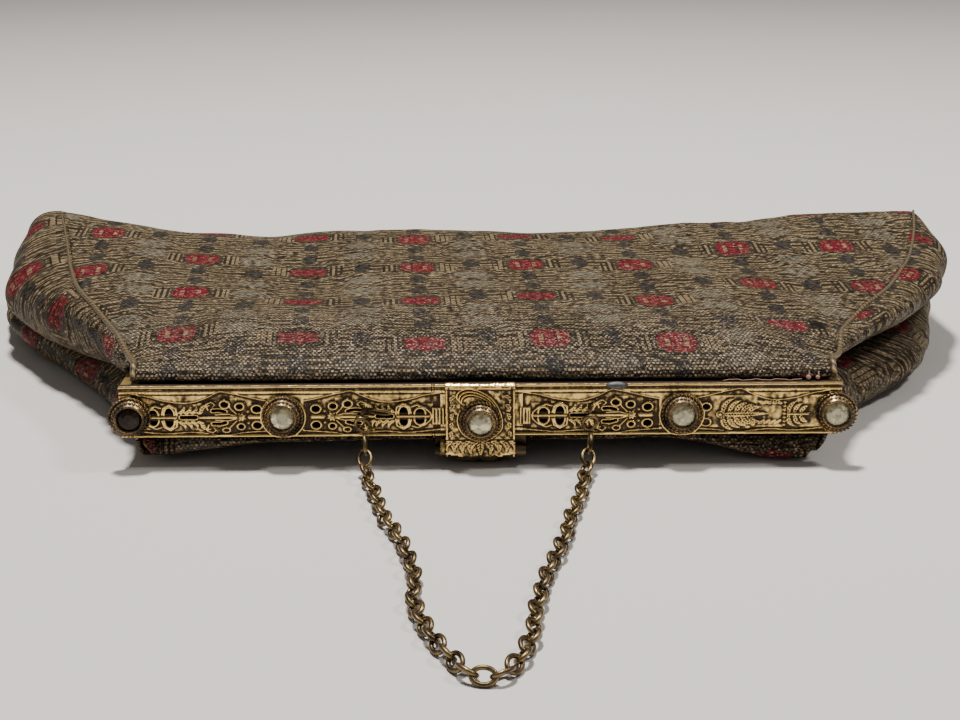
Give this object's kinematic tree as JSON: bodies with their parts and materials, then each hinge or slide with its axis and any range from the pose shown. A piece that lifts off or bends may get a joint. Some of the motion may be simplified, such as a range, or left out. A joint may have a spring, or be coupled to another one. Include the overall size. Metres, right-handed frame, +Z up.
{
  "type": "clutch purse",
  "caption": "Evening clutch bag of metallic brocade on a hinged pierced metal frame with set stones, a flap clasp and a fine chain, lying on its back.",
  "frame": {"origin": "middle of the back panel's rest face, on the surface that the bag lies on", "axes": "+X along the frame to the right as the frame faces the viewer, +Y from the frame towards the bottom of the bag, +Z up from the surface"},
  "size_m": [0.2638, 0.2256, 0.0311],
  "materials": {
    "gilt_frame": "aged gilt metal, dark in the recesses",
    "setting": "dark aged gilt metal",
    "dark_metal": "tarnished metal",
    "chain": "antique bronze wire",
    "stone": "faceted clear paste stone",
    "brocade": "woven metallic brocade with red, gold and silver motifs",
    "piping": "gold metallic cord",
    "lining": "plain satin",
    "paper_cord": "twisted paper"
  },
  "bodies": {
    "root": {"back_channel": "gilt_frame", "back_channel_cord": "paper_cord", "clasp_bracket": "dark_metal", "clasp_hinge_pin": "dark_metal", "hinge_rivet_left": "dark_metal", "hinge_rivet_right": "dark_metal", "back_panel": "brocade", "front_panel": "brocade", "gusset_left": "brocade", "gusset_right": "brocade", "front_lining": "lining", "back_lining": "lining", "front_piping_left": "piping", "front_piping_right": "piping", "chain": "chain"},
    "front_frame": {"front_channel": "gilt_frame", "front_channel_cord": "paper_cord", "filigree_strip": "gilt_frame", "bezel_far_left": "setting", "stone_far_left": "stone", "bezel_mid_left": "setting", "stone_mid_left": "stone", "bezel_mid_right": "setting", "stone_mid_right": "stone", "bezel_far_right": "setting", "stone_far_right": "stone", "chain_eye_left": "chain", "chain_eye_right": "chain", "chain_ring_left": "chain", "chain_ring_right": "chain"},
    "clasp": {"clasp_plate": "gilt_frame", "bezel_clasp": "setting", "stone_clasp": "stone"}
  },
  "joints": [
    {"name": "frame_open", "type": "hinge", "parent": "root", "child": "front_frame", "pos_m": [0, -0.038, 0.0127], "axis": [-1, 0, 0], "range_deg": [0, 70], "deforming": ["front_panel", "front_lining", "gusset_left", "gusset_right", "front_piping_left", "front_piping_right"]},
    {"name": "clasp_lift", "type": "hinge", "parent": "root", "child": "clasp", "pos_m": [0, -0.06275, 0.0036], "axis": [1, 0, 0], "range_deg": [0, 65]}
  ]
}
